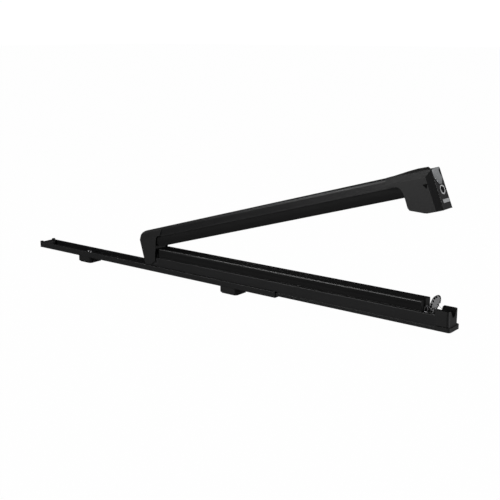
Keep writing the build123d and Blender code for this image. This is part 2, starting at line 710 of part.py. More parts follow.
def house_outline():
    curve = [(700.3, -34.9), (694.5, -33.5), (667.0, -24.2), (664.0, -19.4), (663.3, -10.0)]
    curve += [(662.6, 0.2), (661.2, 9.0), (657.9, 17.0), (652.0, 21.5), (644.0, 23.6), (629.7, 25.5)]
    top = [(629.7, 42.5), (645.0, 43.0), (660.0, 44.3), (675.0, 45.7), (690.0, 46.5), (719.0, 45.2)]
    front = [(722.7, 43.5), (HOUSE_FRONT_U, HOUSE_FRONT_V), (731.5, -35.0)]
    return curve + top + front


def make_house_solid():
    out = HOUSE_W / 2
    body = side(house_outline(), -out, out)
    shoulder, crest, top = HOUSE_SHOULDER_V, HOUSE_BAND_V, HOUSE_TOP
    crown = [(-out, -60), (out, -60), (out, shoulder), (HOUSE_BAND_Y, crest), (8.0, top - 1.4), (0, top)]
    crown += [(-8.0, top - 1.4), (-HOUSE_BAND_Y, crest), (-out, shoulder)]
    body &= bar(crown, 600, 760)
    cutter = bevel_wedge()
    return body - cutter - mirror_y(cutter)


def make_house_cavity():
    lower = block(ARM_END + 10, 760, -HOUSE_IN, HOUSE_IN, -60, ARM_BASE)
    lower += block(668, 760, -15, 15, ARM_BASE - 1, 39)
    lower &= behind_front(FRONT_WALL)
    corner = bevel_wedge(BEVEL_WALL)
    lower = lower - corner - mirror_y(corner)
    sleeve = run_arm(arm_section(), 600, ARM_END)
    under = block(600, ARM_END + 10, -RUBBER_W / 2 - 0.3, RUBBER_W / 2 + 0.3, -60, ARM_BASE)
    return lower + sleeve + under


def button_face(grow=0.0):
    """Button seen from the front: across and height."""
    wide, tip = BUTTON_W / 2 + grow, BUTTON_TIP_W / 2 + grow
    waist, low = BUTTON_WAIST_V, BUTTON_TIP_V - grow
    points = [(-wide, 70), (wide, 70), (wide, waist), (tip, low), (-tip, low), (-wide, waist)]
    return bar(points, BUTTON_REAR_U - 60, 780)


def make_button_pocket():
    rear = BUTTON_REAR_U - BUTTON_TRAVEL - GAP_BUTTON
    pocket = button_face(GAP_BUTTON) & block(rear, 780, -40, 40, -60, 90)
    floor = BUTTON_TOP_V - BUTTON_TOP_T - 2
    inner = behind_front(BUTTON_FRONT_T + BUTTON_TRAVEL + 1)
    return pocket - (inner & block(600, 780, -40, 40, -60, floor))


def lock_cylinder(radius, out, depth):
    """Cylinder about the lock's axis, from out of the face to a depth behind it."""
    return extrude(face_frame(LOCK_V, -out) * Circle(radius), -(out + depth))


def make_lock_housing(near):
    shell = make_house_solid() - make_house_cavity() - make_button_pocket()
    shell -= front_slab(-5, PLATE_T, PLATE_W / 2, PLATE_TOP_V, -60)
    shell -= lock_cylinder(LOCK_BARREL_R, 5, 12)
    shell -= cross_rod(PAWL_PIN_D / 2, -HOUSE_IN - 1.0, HOUSE_IN + 1.0, PAWL_U, PAWL_V)
    shell -= screw_recess() + house_screw(True) + house_screw(False)
    part = half_of(shell, near)
    return part.solids().sort_by(SortBy.VOLUME)[-1]


def screw_recess():
    """Three-cornered recess round each housing screw."""
    out = HOUSE_W / 2
    tips = [(SCREW_U - 5.2, SCREW_V + 3.4), (SCREW_U + 5.2, SCREW_V + 3.4), (SCREW_U + 0.8, SCREW_V - 5.4)]
    near = side(tips, -out - 1, -out + RECESS_DEPTH)
    return near + mirror_y(near)


def house_screw(near):
    out = HOUSE_W / 2
    shaft = cross_rod(1.2, -out + RECESS_DEPTH, -HOUSE_IN, SCREW_U, SCREW_V)
    head = cross_rod(2.2, -out + 0.6, -out + RECESS_DEPTH, SCREW_U, SCREW_V)
    screw = head + shaft
    return screw if near else mirror_y(screw)


def make_front_plate():
    plate = front_slab(0, PLATE_T, PLATE_W / 2, PLATE_TOP_V, -34.5)
    plate -= make_button_pocket() + button_face(GAP_BUTTON)
    plate -= lock_cylinder(LOCK_BARREL_R, 5, 12)
    return plate.solids().sort_by(SortBy.VOLUME)[-1]


def make_badge():
    plane = face_frame(BADGE_V)
    badge = extrude(plane * (Pos(BADGE_Y, 0) * RectangleRounded(BADGE_W, BADGE_H, 1.0)), BADGE_T)
    return badge


def make_lock_ring():
    ring = lock_cylinder(LOCK_RING_R, LOCK_RING_PROUD, 0)
    ring -= lock_cylinder(LOCK_BARREL_R, 9, 9)
    return ring


def make_lock_barrel():
    barrel = lock_cylinder(LOCK_BARREL_R, LOCK_RING_PROUD - 0.3, LOCK_DEPTH)
    return barrel - lock_cylinder(PLUG_R + GAP_PIN, 9, LOCK_DEPTH + 9)


def make_lock_plug():
    plug = lock_cylinder(PLUG_R, PLUG_PROUD, LOCK_DEPTH + CAM_GAP)
    slot = extrude(face_frame(LOCK_V, -PLUG_PROUD) * Rectangle(KEY_W, KEY_H), -8)
    return plug - slot


def make_lock_cam():
    plane = face_frame(LOCK_V, LOCK_DEPTH + CAM_GAP)
    arm = Pos(0, 1.0) * Rectangle(CAM_W, CAM_REACH * 2 - 2)
    return extrude(plane * arm, -CAM_T)


# ---- button, pawl and their spring
def make_push_button():
    rear, top = BUTTON_REAR_U, BUTTON_TOP_V
    body = button_face() & block(rear, 780, -40, 40, BUTTON_TIP_V - 5, top)
    front = behind_front(-BUTTON_PROUD)
    hollow = behind_front(BUTTON_FRONT_T - BUTTON_PROUD)
    hollow &= block(600, 780, -40, 40, -60, top - BUTTON_TOP_T)
    body = (body & front) - hollow
    dish = cross_rod(60.0, -BUTTON_W, BUTTON_W, 0, 0)
    dish = Pos(718, 0, top + 58.2) * dish
    body -= dish
    stem_end = PAWL_U + PAWL_T / 2 + STEM_GAP
    low_end = (Align.CENTER, Align.CENTER, Align.MIN)
    turned = Rot(0, 90, 0) * Cylinder(STEM_D / 2, STEM_L, align=low_end)
    stem = Pos(stem_end, 0, STEM_V) * turned
    return body + stem


def make_latch_pawl():
    u0, u1 = PAWL_U - PAWL_T / 2, PAWL_U + PAWL_T / 2
    half = PAWL_W / 2
    pawl = block(u0, u1, -half, half, PAWL_BOTTOM_V, PAWL_TOP_V)
    pawl += cross_rod(PAWL_HUB_R, -half, half, PAWL_U, PAWL_V)
    tooth = [(TOOTH_TIP_U, PAWL_BOTTOM_V + 0.4), (u1, PAWL_BOTTOM_V), (u1, PAWL_BOTTOM_V + TOOTH_H)]
    tooth += [(TOOTH_TIP_U, PAWL_BOTTOM_V + TOOTH_H)]
    pawl += side(tooth, -half, half)
    return pawl - cross_rod(PAWL_PIN_D / 2 + GAP_PIN, -40, 40, PAWL_U, PAWL_V)


def make_pawl_pin():
    reach = HOUSE_IN + 1.0
    return cross_rod(PAWL_PIN_D / 2, -reach, reach, PAWL_U, PAWL_V)


def make_parts():
    feet = ((0.0, FRONT_FOOT_L), (REAR_FOOT_X, REAR_FOOT_L))
    parts = {
        "base_rail": make_rail(),
        "rail_end_cap": make_end_cap(),
        "rail_front_stop": make_front_stop(),
        "front_foot": foot_shape(*feet[0]),
        "rear_foot": foot_shape(*feet[1]),
        "front_foot_pad": foot_pad(*feet[0]),
        "rear_foot_pad": foot_pad(*feet[1]),
        "front_foot_insert": foot_insert(feet[0][0]),
        "rear_foot_insert": foot_insert(feet[1][0]),
        "foot_bolts": group(foot_bolt(x) for x, _ in feet),
        "foot_washers": group(foot_washer(x) for x, _ in feet),
        "foot_screws": group(foot_screw(x) for x, _ in feet),
        "carriage_profile": make_carriage_profile(),
        "glide_shoes_rear": glide_shoe(SHOE_REAR_X),
        "glide_shoes_front": glide_shoe(SHOE_FRONT_X),
        "bed_rubber": make_bed_rubber(),
        "hinge_bushes": both_sides(hinge_bush()),
        "travel_stop_lug": make_stop_lug(),
        "stop_lug_screw": make_stop_lug_screw(),
        "end_block": make_end_block(),
        "end_block_screws": both_sides(end_screw(CAR_W / 2 - CAR_WALL - 3)),
        "catch_ears": both_sides(make_catch_ear()),
        "catch_screws": group(catch_screw(place) for place in catch_screw_places()),
        "catch_bail": both_sides(make_catch_bail()),
        "catch_plates": both_sides(make_catch_plate()),
        "catch_core": make_catch_core(),
    }
    reach = CATCH_HALF + EAR_GAP + EAR_T
    parts["catch_pin"] = cross_rod(CATCH_PIN_D / 2, -reach, reach, CATCH_X, CATCH_Z)
    shell = make_elbow_shell()
    arm_parts = {
        "arm_profile": make_arm_profile(),
        "arm_rubber": make_arm_rubber(),
        "elbow_cover_near": half_of(shell, True),
        "elbow_cover_far": half_of(shell, False),
        "elbow_bracket": make_elbow_bracket(),
        "bracket_screws": group(bracket_screw(u) for u in bracket_screws_u()),
        "hinge_pin": make_hinge_pin(),
        "lock_housing_near": make_lock_housing(True),
        "lock_housing_far": make_lock_housing(False),
        "lock_front_plate": make_front_plate(),
        "housing_screws": group((house_screw(True), house_screw(False))),
        "blank_badge": make_badge(),
        "lock_ring": make_lock_ring(),
        "lock_barrel": make_lock_barrel(),
        "lock_plug": make_lock_plug(),
        "lock_cam": make_lock_cam(),
        "pawl_pin": make_pawl_pin(),
        "latch_pawl": make_latch_pawl(),
        "push_button": make_push_button(),
    }
    for name, shape in arm_parts.items():
        parts[name] = on_arm(shape)
    return parts


for part_name, part_shape in make_parts().items():
    save(part_name, part_shape)
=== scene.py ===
import bpy
import bmesh
import math
from mathutils import Matrix, Vector


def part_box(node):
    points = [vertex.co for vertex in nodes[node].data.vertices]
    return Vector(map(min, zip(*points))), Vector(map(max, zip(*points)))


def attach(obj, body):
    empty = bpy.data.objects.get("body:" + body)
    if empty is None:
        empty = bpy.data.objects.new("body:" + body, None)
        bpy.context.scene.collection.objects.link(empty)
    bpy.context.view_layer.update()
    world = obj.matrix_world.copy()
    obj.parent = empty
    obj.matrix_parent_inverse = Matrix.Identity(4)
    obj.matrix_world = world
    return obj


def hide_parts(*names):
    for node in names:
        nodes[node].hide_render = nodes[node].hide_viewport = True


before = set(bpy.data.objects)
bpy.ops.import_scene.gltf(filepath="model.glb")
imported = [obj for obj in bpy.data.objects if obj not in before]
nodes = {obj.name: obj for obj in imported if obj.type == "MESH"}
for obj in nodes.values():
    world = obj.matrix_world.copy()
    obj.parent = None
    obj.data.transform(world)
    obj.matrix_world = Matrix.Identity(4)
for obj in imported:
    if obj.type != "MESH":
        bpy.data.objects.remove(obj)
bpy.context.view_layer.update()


# ==== 1. Fixed rail
# Roll-formed aluminium channel, 740 mm long, black anodised, open at the top between two lips.
# It is bolted to both feet and every other piece of the base fixes to it.
MM = 0.001


def new_group(name, inputs, outputs):
    """Empty node group with named float, vector or colour sockets."""
    tree = bpy.data.node_groups.new(name, "ShaderNodeTree")
    for label, kind, value in inputs:
        made = tree.interface.new_socket(label, in_out="INPUT", socket_type=kind)
        if value is not None:
            made.default_value = value
    for label, kind in outputs:
        tree.interface.new_socket(label, in_out="OUTPUT", socket_type=kind)
    return tree, tree.nodes.new("NodeGroupInput"), tree.nodes.new("NodeGroupOutput")


def add(tree, kind, **settings):
    """Node with its settings; in_N sets the socket numbered N."""
    made = tree.nodes.new(kind)
    for key, value in settings.items():
        if key.startswith("in_"):
            made.inputs[int(key[3:])].default_value = value
        else:
            setattr(made, key, value)
    return made


def math_node(tree, operation, first, second=0.0):
    """Output of a math node fed with numbers or sockets."""
    made = add(tree, "ShaderNodeMath", operation=operation)
    for index, value in enumerate((first, second)):
        if isinstance(value, (int, float)):
            made.inputs[index].default_value = value
        else:
            tree.links.new(value, made.inputs[index])
    return made.outputs[0]


def ramp(tree, value, low, high, out_low=0.0, out_high=1.0):
    """The value carried from one range to another and held inside it."""
    made = add(tree, "ShaderNodeMapRange", in_1=low, in_2=high, in_3=out_low, in_4=out_high)
    tree.links.new(value, made.inputs[0])
    return made.outputs[0]


def make_grain_group():
    """Fine moulding grain: cell pits a fraction of a millimetre across."""
    tree, inp, out = new_group(
        "moulding_grain",
        [("Size", "NodeSocketFloat", 0.0004), ("Spread", "NodeSocketFloat", 0.5)],
        [("Value", "NodeSocketFloat"), ("Height", "NodeSocketFloat")],
    )
    place = add(tree, "ShaderNodeTexCoord")
    scale = math_node(tree, "DIVIDE", 1.0, inp.outputs["Size"])
    cells = add(tree, "ShaderNodeTexVoronoi", feature="SMOOTH_F1")
    tree.links.new(place.outputs["Object"], cells.inputs["Vector"])
    tree.links.new(scale, cells.inputs["Scale"])
    cloud = add(tree, "ShaderNodeTexNoise")
    tree.links.new(place.outputs["Object"], cloud.inputs["Vector"])
    tree.links.new(math_node(tree, "MULTIPLY", scale, 0.35), cloud.inputs["Scale"])
    mixed = math_node(tree, "MULTIPLY", cloud.outputs["Fac"], inp.outputs["Spread"])
    height = math_node(tree, "ADD", cells.outputs["Distance"], mixed)
    tree.links.new(height, out.inputs["Height"])
    tree.links.new(cloud.outputs["Fac"], out.inputs["Value"])
    return tree


def make_draw_group():
    """Draw lines of an extrusion: long streaks along one axis of the piece."""
    tree, inp, out = new_group(
        "draw_lines",
        [("Pitch", "NodeSocketFloat", 0.0005), ("Stretch", "NodeSocketFloat", 0.01),
         ("Tilt", "NodeSocketFloat", 0.0)],
        [("Value", "NodeSocketFloat"), ("Height", "NodeSocketFloat")],
    )
    place = add(tree, "ShaderNodeTexCoord")
    spin = add(tree, "ShaderNodeVectorRotate", rotation_type="Y_AXIS")
    tree.links.new(place.outputs["Object"], spin.inputs["Vector"])
    tree.links.new(inp.outputs["Tilt"], spin.inputs["Angle"])
    squeeze = add(tree, "ShaderNodeVectorMath", operation="MULTIPLY")
    along = add(tree, "ShaderNodeCombineXYZ", in_1=1.0, in_2=1.0)
    tree.links.new(inp.outputs["Stretch"], along.inputs["X"])
    tree.links.new(spin.outputs[0], squeeze.inputs[0])
    tree.links.new(along.outputs[0], squeeze.inputs[1])
    lines = add(tree, "ShaderNodeTexNoise")
    tree.links.new(squeeze.outputs[0], lines.inputs["Vector"])
    tree.links.new(math_node(tree, "DIVIDE", 1.0, inp.outputs["Pitch"]), lines.inputs["Scale"])
    lines.inputs["Detail"].default_value = 4.0
    tree.links.new(lines.outputs["Fac"], out.inputs["Value"])
    tree.links.new(lines.outputs["Fac"], out.inputs["Height"])
    return tree


def make_edge_wear_highlight_group():
    """Mask that is 1 on rounded-over edges and 0 on flats, broken up by noise; it lightens edges
    as wear and as a painted highlight.
    """
    tree, inp, out = new_group(
        "edge_wear_and_highlight",
        [("Radius", "NodeSocketFloat", 0.0006), ("Breakup", "NodeSocketFloat", 0.5)],
        [("Mask", "NodeSocketFloat")],
    )
    rounded = add(tree, "ShaderNodeBevel", samples=6)
    tree.links.new(inp.outputs["Radius"], rounded.inputs["Radius"])
    flat = add(tree, "ShaderNodeNewGeometry")
    dot = add(tree, "ShaderNodeVectorMath", operation="DOT_PRODUCT")
    tree.links.new(rounded.outputs["Normal"], dot.inputs[0])
    tree.links.new(flat.outputs["Normal"], dot.inputs[1])
    edge = ramp(tree, math_node(tree, "SUBTRACT", 1.0, dot.outputs["Value"]), 0.02, 0.25)
    place = add(tree, "ShaderNodeTexCoord")
    chips = add(tree, "ShaderNodeTexNoise")
    tree.links.new(place.outputs["Object"], chips.inputs["Vector"])
    chips.inputs["Scale"].default_value = 260.0
    chipped = ramp(tree, chips.outputs["Fac"], 0.35, 0.65)
    whole = math_node(tree, "SUBTRACT", 1.0, chipped)
    kept = math_node(tree, "MULTIPLY", whole, inp.outputs["Breakup"])
    lost = math_node(tree, "MULTIPLY", edge, kept)
    tree.links.new(math_node(tree, "SUBTRACT", edge, lost), out.inputs["Mask"])
    return tree


def make_dust_group():
    """Mask of light handling dust: soft patches, heavier on faces that look up."""
    tree, inp, out = new_group(
        "dust",
        [("Amount", "NodeSocketFloat", 0.3), ("Patch", "NodeSocketFloat", 0.03)],
        [("Mask", "NodeSocketFloat")],
    )
    place = add(tree, "ShaderNodeTexCoord")
    patch = add(tree, "ShaderNodeTexNoise")
    patch.inputs["Detail"].default_value = 6.0
    tree.links.new(place.outputs["Object"], patch.inputs["Vector"])
    tree.links.new(math_node(tree, "DIVIDE", 1.0, inp.outputs["Patch"]), patch.inputs["Scale"])
    flat = add(tree, "ShaderNodeNewGeometry")
    parts = add(tree, "ShaderNodeSeparateXYZ")
    tree.links.new(flat.outputs["Normal"], parts.inputs[0])
    up = ramp(tree, parts.outputs["Z"], -0.2, 1.0, 0.25, 1.0)
    spots = ramp(tree, patch.outputs["Fac"], 0.45, 0.8)
    settled = math_node(tree, "MULTIPLY", spots, up)
    masked = math_node(tree, "MULTIPLY", settled, inp.outputs["Amount"])
    tree.links.new(masked, out.inputs["Mask"])
    return tree


GRAIN = make_grain_group()
DRAW = make_draw_group()
EDGE_WEAR_HIGHLIGHT = make_edge_wear_highlight_group()
DUST = make_dust_group()


def use(tree, group, **values):
    """A shared group placed in a material with its own values."""
    made = add(tree, "ShaderNodeGroup", node_tree=group)
    for label, value in values.items():
        made.inputs[label].default_value = value
    return made


def blend_colour(tree, mask, low, high):
    """Colour that goes from low to high as the mask goes from 0 to 1."""
    made = add(tree, "ShaderNodeMix", data_type="RGBA")
    tree.links.new(mask, made.inputs["Factor"])
    for socket, colour in ((made.inputs[6], low), (made.inputs[7], high)):
        if isinstance(colour, tuple):
            socket.default_value = (*colour, 1.0)
        else:
            tree.links.new(colour, socket)
    return made.outputs[2]


WEAR_HIGHLIGHT_BREAKUP = 0.6
DUST_PATCH = 0.03
ROUGH_SPREAD = 0.06
DUST_ROUGH = 0.3
EDGE_SAMPLES = 6


def finish_material(name, base, worn_and_lit, rough, metal=0.0, specular=0.5, edge_radius=0.5,
                    wear_highlight_amount=0.6, dust=0.1, dusty=(0.12, 0.12, 0.12), heights=()):
    """Principled material whose colour, roughness and bump come from the shared groups."""
    made = bpy.data.materials.new(name)
    made.use_nodes = True
    tree = made.node_tree
    shader = tree.nodes["Principled BSDF"]
    shader.inputs["Metallic"].default_value = metal
    shader.inputs["Specular IOR Level"].default_value = specular
    # The edge mask lightens the colour on rounded edges: partly wear, partly a painted highlight
    # along the rims.
    edge = use(tree, EDGE_WEAR_HIGHLIGHT, Radius=edge_radius * MM, Breakup=WEAR_HIGHLIGHT_BREAKUP)
    wear_highlight_mask = math_node(tree, "MULTIPLY", edge.outputs["Mask"], wear_highlight_amount)
    colour = blend_colour(tree, wear_highlight_mask, base, worn_and_lit)
    film = use(tree, DUST, Amount=dust, Patch=DUST_PATCH)
    colour = blend_colour(tree, film.outputs["Mask"], colour, dusty)
    tree.links.new(colour, shader.inputs["Base Color"])
    height, value = None, None
    for group, strength, settings in heights:
        made_group = use(tree, group, **settings)
        part = math_node(tree, "MULTIPLY", made_group.outputs["Height"], strength)
        height = part if height is None else math_node(tree, "ADD", height, part)
        value = made_group.outputs["Value"] if value is None else value
    if height is not None:
        bump = add(tree, "ShaderNodeBump")
        bump.inputs["Strength"].default_value = 1.0
        bump.inputs["Distance"].default_value = MM
        tree.links.new(height, bump.inputs["Height"])
        rounded = add(tree, "ShaderNodeBevel", samples=EDGE_SAMPLES)
        rounded.inputs["Radius"].default_value = edge_radius * MM
        tree.links.new(rounded.outputs["Normal"], bump.inputs["Normal"])
        tree.links.new(bump.outputs["Normal"], shader.inputs["Normal"])
        spread = ramp(tree, value, 0.3, 0.7, rough - ROUGH_SPREAD, rough + ROUGH_SPREAD)
        dulled = math_node(tree, "MULTIPLY", film.outputs["Mask"], DUST_ROUGH)
        raised = math_node(tree, "ADD", spread, dulled)
        tree.links.new(raised, shader.inputs["Roughness"])
    return made


def paint_cad(name, material):
    """CAD piece shown as it is; the material rounds its edges in shading only."""
    piece = nodes[name]
    piece.data.materials.clear()
    piece.data.materials.append(material)
    for face in piece.data.polygons:
        face.material_index = 0
    return piece


anodised = finish_material(
    "black_anodised", (0.011, 0.0112, 0.012), (0.10, 0.10, 0.105), 0.34, metal=0.0, specular=0.55,
    edge_radius=0.45, wear_highlight_amount=0.5, dust=0.05,
    heights=[(DRAW, 0.02, {"Pitch": 0.0006, "Stretch": 0.004}), (GRAIN, 0.004, {"Size": 0.0003})])
paint_cad("base_rail", anodised)


# ==== 2. Rail end cap and front stop
# Moulded cap pushed into the rail's rear end; its two raised ears stand on the lips.
# The stop is a small zinc plated block on the rail's floor that ends the carriage's travel.
plastic = finish_material(
    "black_plastic", (0.0085, 0.0085, 0.009), (0.06, 0.06, 0.062), 0.46, specular=0.5,
    edge_radius=0.6, wear_highlight_amount=0.45, dust=0.06,
    heights=[(GRAIN, 0.012, {"Size": 0.00035})])
zinc = finish_material(
    "steel", (0.42, 0.42, 0.43), (0.6, 0.6, 0.6), 0.30, metal=1.0, edge_radius=0.25, dust=0.06,
    heights=[(GRAIN, 0.004, {"Size": 0.0002}), (DRAW, 0.004, {"Pitch": 0.0003, "Stretch": 0.4})])
paint_cad("rail_end_cap", plastic)
paint_cad("rail_front_stop", zinc)


# ==== 3. Feet, pads and threaded inserts
# Glass-filled nylon feet under the rail, each standing on a thin rubber pad on its roof bar.
# A brass insert in each takes the bolt that comes up from the bar.
rubber = finish_material(
    "black_rubber", (0.0062, 0.0062, 0.0064), (0.03, 0.03, 0.03), 0.62, specular=0.22,
    edge_radius=0.5, wear_highlight_amount=0.3, dust=0.12, dusty=(0.06, 0.06, 0.06),
    heights=[(DRAW, 0.02, {"Pitch": 0.0009, "Stretch": 0.01}), (GRAIN, 0.005, {"Size": 0.00025})])
brass = finish_material(
    "brass", (0.5, 0.36, 0.16), (0.7, 0.55, 0.3), 0.3, metal=1.0, edge_radius=0.2,
    heights=[(DRAW, 0.01, {"Pitch": 0.0004, "Stretch": 1.0})])
for end in ("front", "rear"):
    paint_cad(end + "_foot", plastic)
    paint_cad(end + "_foot_pad", rubber)
    paint_cad(end + "_foot_insert", brass)


# ==== 4. Foot bolts, washers and screws
# Socket-head steel bolts in the rail's channel, down through its floor into each foot.
# The smaller button-head screws beside them stop the feet from turning.
paint_cad("foot_bolts", zinc)
paint_cad("foot_washers", zinc)
paint_cad("foot_screws", zinc)


# ==== 5. Carriage profile and its travel stop
# One black anodised extrusion: flanges that run inside the rail and a box above its lips.
# The elbow goes down into the cut in its rear end; a zinc plated lug is screwed to its web.
paint_cad("carriage_profile", anodised)
paint_cad("travel_stop_lug", zinc)
paint_cad("stop_lug_screw", zinc)


# ==== 6. Glide shoes and hinge bushes
# Low-friction plastic caps on the flanges, and flanged bushes in the profile's walls.
# The shoes stay in the rail and the bushes carry the hinge pin.
glide = finish_material(
    "glide_plastic", (0.03, 0.03, 0.032), (0.1, 0.1, 0.1), 0.38, edge_radius=0.3,
    heights=[(GRAIN, 0.005, {"Size": 0.0005})])
for name in ("glide_shoes_rear", "glide_shoes_front", "hinge_bushes"):
    paint_cad(name, glide)


# ==== 7. Bed rubber
# Extruded rubber cushion on top of the carriage that the skis lie on, keyed into the profile.
# Its top is finely ribbed along its length and its upper corners are rounded.
def mesh_piece(name, points, faces, material, sharp=35.0):
    """Mesh with smooth shading broken at sharp edges."""
    data = bpy.data.meshes.new(name)
    data.from_pydata([tuple(p) for p in points], [], faces)
    data.validate()
    work = bmesh.new()
    work.from_mesh(data)
    bmesh.ops.recalc_face_normals(work, faces=work.faces)
    for face in work.faces:
        face.smooth = True
    for edge in work.edges:
        edge.smooth = len(edge.link_faces) == 2 and edge.calc_face_angle(0) < math.radians(sharp)
    work.to_mesh(data)
    work.free()
    piece = bpy.data.objects.new(name, data)
    bpy.context.scene.collection.objects.link(piece)
    if material:
        data.materials.append(material)
    return piece


def loft(name, rings, material, sharp=35.0, capped=True):
    """Skin over rings of the same number of points, closed by flat ends."""
    count = len(rings[0])
    points = [p for one in rings for p in one]
    faces = []
    for row in range(len(rings) - 1):
        for i in range(count):
            j = (i + 1) % count
            low, high = row * count, (row + 1) * count
            faces.append((low + i, low + j, high + j, high + i))
    if capped:
        faces.append(tuple(reversed(range(count))))
        faces.append(tuple(range((len(rings) - 1) * count, len(rings) * count)))
    return mesh_piece(name, points, faces, material, sharp)


def arc(cx, cz, radius, start, stop, steps):
    """Points on an arc, angles in degrees."""
    turns = [math.radians(start + (stop - start) * i / steps) for i in range(steps + 1)]
    return [(cx + radius * math.cos(t), cz + radius * math.sin(t)) for t in turns]


def ribs(half, top, count, depth, width):
    """Top line from +half to -half with shallow round-bottomed grooves."""
    line = []
    step = 2 * half / (count + 1)
    for k in range(count):
        middle = half - step * (k + 1)
        for across, down in ((1, 0), (0.55, 0.8), (0, 1), (-0.55, 0.8), (-1, 0)):
            line.append((middle + width * across, top - depth * down))
    return line


RIB_COUNT = 7
RIB_DEPTH = 0.35
RIB_WIDTH = 0.7
RIB_MARGIN = 1.2
BED_CORNER = 3.5 * MM
BED_LIP = 1.6 * MM
BED_LIP_SET = 0.6 * MM
BED_GROOVE = 0.45 * MM
BED_GROOVE_H = 1.4 * MM
BED_SINK = 0.12 * MM
BED_STEPS = 40
bed_low, bed_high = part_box("bed_rubber")
BED_HALF, BED_H = bed_high.y, bed_high.z - bed_low.z


def bed_section():
    """Section of the bed in Y and height: keyed foot, side grooves, ribbed top."""
    half, tall, lip, foot = BED_HALF, BED_H, BED_LIP, BED_HALF - BED_LIP_SET
    right = [(foot, 0), (foot, lip), (foot - BED_GROOVE, lip + 0.4 * MM)]
    right += [(half, lip + BED_GROOVE_H), (half, tall * 0.45), (half - BED_SINK, tall * 0.5)]
    right.append((half, tall * 0.55))
    right += arc(half - BED_CORNER, tall - BED_CORNER, BED_CORNER, 0, 90, 7)
    ribbed = half - BED_CORNER - RIB_MARGIN * MM
    top = ribs(ribbed, tall, RIB_COUNT, RIB_DEPTH * MM, RIB_WIDTH * MM)
    left = [(-y, z) for y, z in reversed(right)]
    return right + top + left


bed_rings = []
section = bed_section()
for i in range(BED_STEPS + 1):
    x = bed_low.x + (bed_high.x - bed_low.x) * i / BED_STEPS
    bed_rings.append([(x, y, bed_low.z + z) for y, z in section])
bed_pad = loft("bed_pad", bed_rings, rubber, 40)


def skin_corners(piece, turn, low, high):
    """Gives the rounded upper corners the smoother skin of the same rubber."""
    piece.data.materials.append(rubber_skin)
    for face in piece.data.polygons:
        normal = turn.inverted() @ face.normal
        if low < normal.z < high and abs(normal.y) > 0.2:
            face.material_index = 1


rubber_skin = finish_material(
    "black_rubber_skin", (0.0075, 0.0075, 0.0078), (0.03, 0.03, 0.03), 0.3, specular=0.8,
    edge_radius=0.3, wear_highlight_amount=0.2, dust=0.04, dusty=(0.06, 0.06, 0.06),
    heights=[(DRAW, 0.008, {"Pitch": 0.0012, "Stretch": 0.01})])
skin_corners(bed_pad, Matrix.Identity(3), 0.15, 0.97)
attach(bed_pad, "carriage")
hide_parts("bed_rubber")


# ==== 8. End block and its screws
# Moulded block closing the carriage's front end, with the slot the arm's tooth drops into.
# Its plug goes into the profile and two screws along the length hold it.
SLOT_HALF = 11.6 * MM
SLOT_LOW = 43.4 * MM
BLOCK_REAR_LOW = 40.0 * MM
BLOCK_CROWN = 50.0 * MM
shadow_black = finish_material(
    "black_plastic_slot_painted_shade", (0.0028, 0.0028, 0.003), (0.02, 0.02, 0.02), 0.6, specular=0.16,
    edge_radius=0.4, wear_highlight_amount=0.3, dust=0.02, dusty=(0.03, 0.03, 0.03),
    heights=[(GRAIN, 0.012, {"Size": 0.00035})])
# Slot faces, the block's rear faces and its crown take a darker copy of the plastic: painted
# shade, where these faces sit in shadow.
end_block = paint_cad("end_block", plastic)
end_block.data.materials.append(shadow_black)
for face in end_block.data.polygons:
    middle, normal = face.center, face.normal
    in_slot = abs(middle.y) < SLOT_HALF and middle.z > SLOT_LOW and abs(normal.x) < 0.5
    behind = normal.x < -0.9 and middle.z > BLOCK_REAR_LOW
    crown = normal.z > 0.3 and middle.z > BLOCK_CROWN
    if in_slot or behind or crown:
        face.material_index = 1
paint_cad("end_block_screws", zinc)


# ==== 9. Catch ears, pin, screws, bails and spring leg
# Two bent steel ears screwed to the profile carry the catch's pin.
# A closed wire bail stands on each side behind them, and a bent spring leg leans forward.
CATCH_X, CATCH_Z = 474.5, 51.5
WIRE_R = 0.55
BAIL_LEAN = 2.4
BAIL_BEND = 1.5
SPRING_R = 0.35
SPRING_BEND = 2.0
oxide = finish_material(
    "black_screw", (0.012, 0.012, 0.012), (0.08, 0.08, 0.08), 0.35, metal=0.4, edge_radius=0.2,
    heights=[(GRAIN, 0.004, {"Size": 0.0002})])
for name in ("catch_ears", "catch_screws"):
    paint_cad(name, oxide)
paint_cad("catch_pin", zinc)


def round_path(corners, reach, closed=False, steps=5):
    """Corner points of a bent wire turned into a path with rounded bends."""
    path = []
    count = len(corners)
    for i, corner in enumerate(corners):
        here = Vector(corner)
        if not closed and i in (0, count - 1):
            path.append(here)
            continue
        before, after = Vector(corners[i - 1]), Vector(corners[(i + 1) % count])
        start = here + (before - here).normalized() * reach
        end = here + (after - here).normalized() * reach
        for k in range(steps + 1):
            t = k / steps
            path.append(start * (1 - t) ** 2 + here * 2 * t * (1 - t) + end * t * t)
    return path


def wire(name, corners, radius, reach, material, closed=False):
    """Round bent wire as a mesh, its corners in millimetres."""
    data = bpy.data.curves.new(name + "_path", "CURVE")
    data.dimensions = "3D"
    data.bevel_depth, data.bevel_resolution, data.use_fill_caps = radius * MM, 4, True
    path = round_path(corners, reach, closed)
    line = data.splines.new("POLY")
    line.points.add(len(path) - 1)
    for point, place in zip(line.points, path):
        point.co = (*(place * MM), 1.0)
    line.use_cyclic_u = closed
    drawn = bpy.data.objects.new(name + "_path", data)
    bpy.context.scene.collection.objects.link(drawn)
    shaped = drawn.evaluated_get(bpy.context.evaluated_depsgraph_get())
    solid = bpy.data.meshes.new_from_object(shaped)
    solid.name = name
    bpy.data.objects.remove(drawn)
    piece = bpy.data.objects.new(name, solid)
    bpy.context.scene.collection.objects.link(piece)
    solid.materials.clear()
    solid.materials.append(material)
    for face in solid.polygons:
        face.use_smooth = True
    return piece


